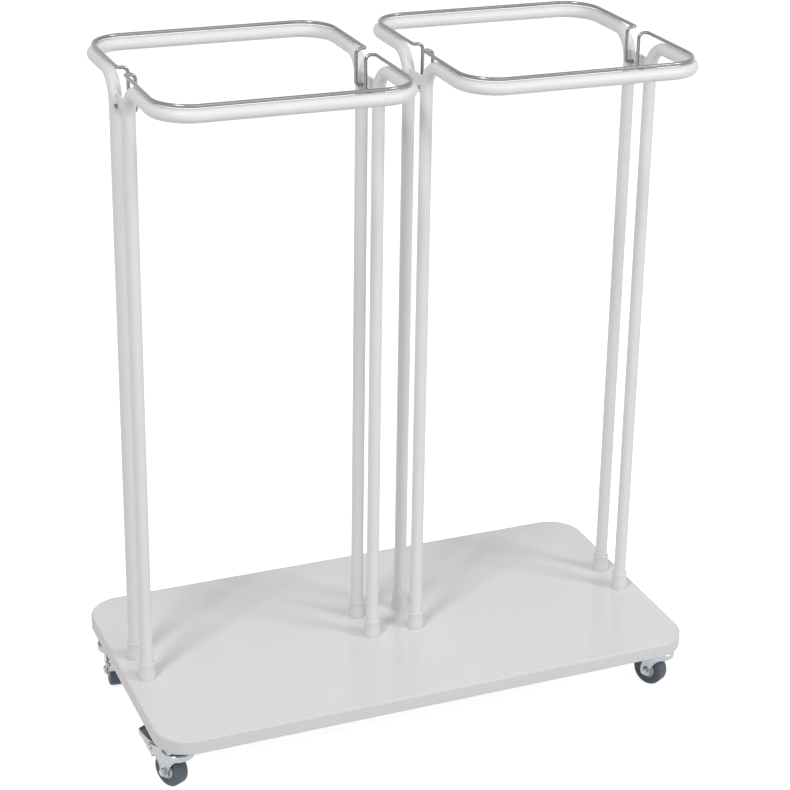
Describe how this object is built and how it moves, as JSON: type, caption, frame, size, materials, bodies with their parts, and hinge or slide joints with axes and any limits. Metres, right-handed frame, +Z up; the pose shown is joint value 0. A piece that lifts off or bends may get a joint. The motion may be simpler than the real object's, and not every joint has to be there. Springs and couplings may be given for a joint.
{
  "type": "double bin bag holder",
  "caption": "Wheeled stand with two tube hoops side by side on a board, each with hinged wire clamps that hold the rim of a refuse sack.",
  "frame": {"origin": "on the floor under the middle of the board", "axes": "+X along the board's long edge to the right, +Y from front to back, +Z up"},
  "size_m": [0.8265, 0.432, 0.9835],
  "materials": {
    "laminate_white": "gloss white laminated board, rounded edge",
    "powder_coat_white": "gloss white powder coat on steel tube",
    "socket_plastic": "gloss white moulded ferrule",
    "wire_zinc": "bright plated spring wire",
    "tyre_rubber": "blue-grey rubber, satin",
    "wheel_plastic": "grey moulded plastic",
    "bearing_steel": "polished steel",
    "insert_steel": "turned steel",
    "screw_zinc": "zinc plated",
    "castor_zinc": "zinc plated pressed steel"
  },
  "bodies": {
    "root": {"base_board": "laminate_white", "castor_screws": "screw_zinc", "hinge_plate_left_inner": "powder_coat_white", "hinge_plate_left_outer": "powder_coat_white", "hinge_plate_right_inner": "powder_coat_white", "hinge_plate_right_outer": "powder_coat_white", "hoop_left_front": "powder_coat_white", "hoop_left_rear": "powder_coat_white", "hoop_right_front": "powder_coat_white", "hoop_right_rear": "powder_coat_white", "kingpin_front_left": "castor_zinc", "kingpin_front_right": "castor_zinc", "kingpin_rear_left": "castor_zinc", "kingpin_rear_right": "castor_zinc", "leg_screws": "screw_zinc", "plate_front_left": "castor_zinc", "plate_front_right": "castor_zinc", "plate_rear_left": "castor_zinc", "plate_rear_right": "castor_zinc", "race_balls_front_left": "bearing_steel", "race_balls_front_right": "bearing_steel", "race_balls_rear_left": "bearing_steel", "race_balls_rear_right": "bearing_steel", "socket_left_inner_front": "socket_plastic", "socket_left_inner_rear": "socket_plastic", "socket_left_outer_front": "socket_plastic", "socket_left_outer_rear": "socket_plastic", "socket_right_inner_front": "socket_plastic", "socket_right_inner_rear": "socket_plastic", "socket_right_outer_front": "socket_plastic", "socket_right_outer_rear": "socket_plastic", "tube_inserts": "insert_steel"},
    "clamp_left_front": {"clamp_left_front": "wire_zinc"},
    "clamp_left_rear": {"clamp_left_rear": "wire_zinc"},
    "clamp_right_front": {"clamp_right_front": "wire_zinc"},
    "clamp_right_rear": {"clamp_right_rear": "wire_zinc"},
    "castor_front_left": {"fork_front_left": "castor_zinc", "axle_front_left": "castor_zinc", "axle_nut_front_left": "castor_zinc", "brake_pin_front_left": "castor_zinc"},
    "wheel_front_left": {"wheel_core_front_left": "wheel_plastic", "tyre_front_left": "tyre_rubber"},
    "brake_front_left": {"brake_pedal_front_left": "castor_zinc"},
    "castor_front_right": {"fork_front_right": "castor_zinc", "axle_front_right": "castor_zinc", "axle_nut_front_right": "castor_zinc"},
    "wheel_front_right": {"wheel_core_front_right": "wheel_plastic", "tyre_front_right": "tyre_rubber"},
    "castor_rear_left": {"fork_rear_left": "castor_zinc", "axle_rear_left": "castor_zinc", "axle_nut_rear_left": "castor_zinc", "brake_pin_rear_left": "castor_zinc"},
    "wheel_rear_left": {"wheel_core_rear_left": "wheel_plastic", "tyre_rear_left": "tyre_rubber"},
    "brake_rear_left": {"brake_pedal_rear_left": "castor_zinc"},
    "castor_rear_right": {"fork_rear_right": "castor_zinc", "axle_rear_right": "castor_zinc", "axle_nut_rear_right": "castor_zinc"},
    "wheel_rear_right": {"wheel_core_rear_right": "wheel_plastic", "tyre_rear_right": "tyre_rubber"}
  },
  "joints": [
    {"name": "clamp_left_front_lift", "type": "hinge", "parent": "root", "child": "clamp_left_front", "pos_m": [-0.20775, -0.018, 0.93], "axis": [-1, 0, 0], "range_deg": [0, 17]},
    {"name": "clamp_left_rear_lift", "type": "hinge", "parent": "root", "child": "clamp_left_rear", "pos_m": [-0.20775, 0.018, 0.93], "axis": [1, 0, 0], "range_deg": [0, 17]},
    {"name": "clamp_right_front_lift", "type": "hinge", "parent": "root", "child": "clamp_right_front", "pos_m": [0.20775, -0.018, 0.93], "axis": [-1, 0, 0], "range_deg": [0, 17]},
    {"name": "clamp_right_rear_lift", "type": "hinge", "parent": "root", "child": "clamp_right_rear", "pos_m": [0.20775, 0.018, 0.93], "axis": [1, 0, 0], "range_deg": [0, 17]},
    {"name": "swivel_front_left", "type": "hinge", "parent": "root", "child": "castor_front_left", "pos_m": [-0.378, -0.175, 0.055], "axis": [0, 0, 1], "continuous": true},
    {"name": "wheel_spin_front_left", "type": "hinge", "parent": "castor_front_left", "child": "wheel_front_left", "pos_m": [-0.38414, -0.16242, 0.025], "axis": [0.8988, 0.4384, 0], "continuous": true},
    {"name": "brake_press_front_left", "type": "hinge", "parent": "castor_front_left", "child": "brake_front_left", "pos_m": [-0.39685, -0.13635, 0.052], "axis": [-0.8988, -0.4384, 0], "range_deg": [0, 10]},
    {"name": "swivel_front_right", "type": "hinge", "parent": "root", "child": "castor_front_right", "pos_m": [0.378, -0.175, 0.055], "axis": [0, 0, 1], "continuous": true},
    {"name": "wheel_spin_front_right", "type": "hinge", "parent": "castor_front_right", "child": "wheel_front_right", "pos_m": [0.37164, -0.16253, 0.025], "axis": [0.891, 0.454, 0], "continuous": true},
    {"name": "swivel_rear_left", "type": "hinge", "parent": "root", "child": "castor_rear_left", "pos_m": [-0.386, 0.14, 0.055], "axis": [0, 0, 1], "continuous": true},
    {"name": "wheel_spin_rear_left", "type": "hinge", "parent": "castor_rear_left", "child": "wheel_rear_left", "pos_m": [-0.38795, 0.12614, 0.025], "axis": [-0.9903, 0.1392, 0], "continuous": true},
    {"name": "brake_press_rear_left", "type": "hinge", "parent": "castor_rear_left", "child": "brake_rear_left", "pos_m": [-0.39198, 0.09742, 0.052], "axis": [0.9903, -0.1392, 0], "range_deg": [0, 10]},
    {"name": "swivel_rear_right", "type": "hinge", "parent": "root", "child": "castor_rear_right", "pos_m": [0.386, 0.14, 0.055], "axis": [0, 0, 1], "continuous": true},
    {"name": "wheel_spin_rear_right", "type": "hinge", "parent": "castor_rear_right", "child": "wheel_rear_right", "pos_m": [0.37331, 0.13408, 0.025], "axis": [-0.4226, 0.9063, 0], "continuous": true}
  ]
}
